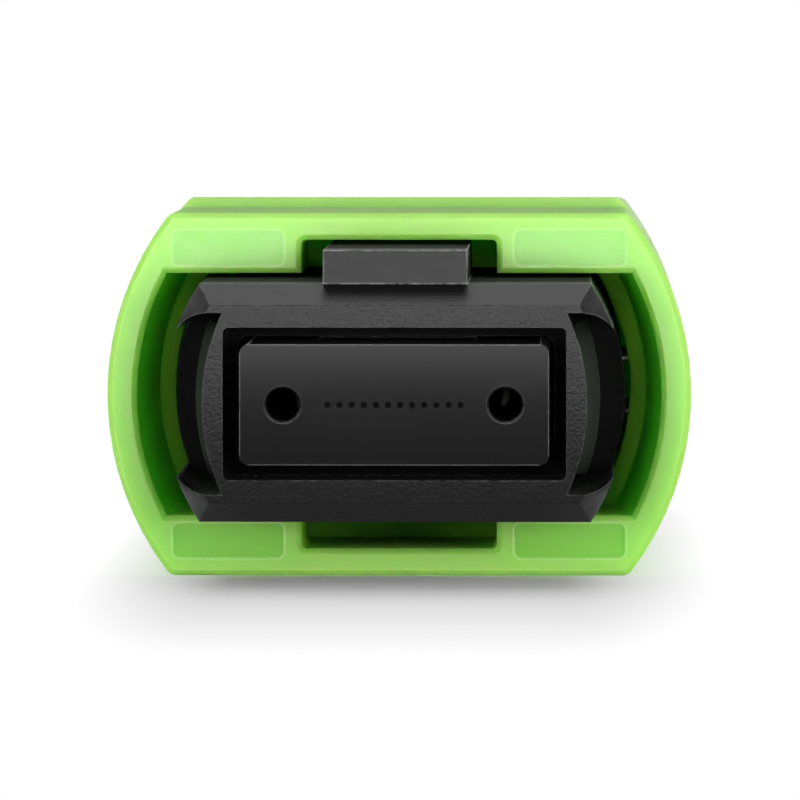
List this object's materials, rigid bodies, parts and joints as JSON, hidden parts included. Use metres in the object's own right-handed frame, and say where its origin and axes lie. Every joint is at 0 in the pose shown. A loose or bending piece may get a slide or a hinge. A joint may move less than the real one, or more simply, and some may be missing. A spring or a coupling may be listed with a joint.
{
  "type": "mpo fibre connector",
  "caption": "Female multi-fibre push-on plug: keyed black housing with a rectangular sprung ferrule, inside a sliding lime-green coupling sleeve, with a crimp stem behind.",
  "frame": {"origin": "centre of the ferrule's end face", "axes": "-Y is the mating direction, +Y runs back to the cable, +Z is the side with the polarising key"},
  "size_m": [0.0124, 0.0348, 0.0079],
  "materials": {
    "sleeve_plastic": "satin moulded, lime green",
    "housing_plastic": "fine-grained moulded, black",
    "push_plastic": "moulded, black",
    "ferrule_composite": "smooth glass-filled polymer, polished end face",
    "boot_rubber": "soft black rubber",
    "keeper_steel": "fine machined",
    "spring_steel": "drawn wire",
    "fibre_glass": "polished flush",
    "ribbon_acrylate": "clear-coated ribbon",
    "crimp_metal": "nickel-plated"
  },
  "bodies": {
    "plug_body": {"plug_housing": "housing_plastic", "spring_push": "push_plastic", "crimp_ring": "crimp_metal", "ferrule_spring": "spring_steel", "sleeve_spring_left": "spring_steel", "sleeve_spring_right": "spring_steel"},
    "sleeve": {"coupling_sleeve": "sleeve_plastic"},
    "ferrule_set": {"mt_ferrule": "ferrule_composite", "ferrule_boot": "boot_rubber", "pin_keeper": "keeper_steel", "fibre_ribbon": "ribbon_acrylate", "fibre_01": "fibre_glass", "fibre_02": "fibre_glass", "fibre_03": "fibre_glass", "fibre_04": "fibre_glass", "fibre_05": "fibre_glass", "fibre_06": "fibre_glass", "fibre_07": "fibre_glass", "fibre_08": "fibre_glass", "fibre_09": "fibre_glass", "fibre_10": "fibre_glass", "fibre_11": "fibre_glass", "fibre_12": "fibre_glass"}
  },
  "joints": [
    {"name": "sleeve_slide", "type": "slide", "parent": "plug_body", "child": "sleeve", "axis": [0, 1, 0], "range_m": [0, 0.0022], "stiffness_N_per_m": 1500, "deforming": ["sleeve_spring_left", "sleeve_spring_right"]},
    {"name": "ferrule_float", "type": "slide", "parent": "plug_body", "child": "ferrule_set", "axis": [0, 1, 0], "range_m": [0, 0.0008], "stiffness_N_per_m": 4000, "deforming": ["ferrule_spring"]}
  ]
}
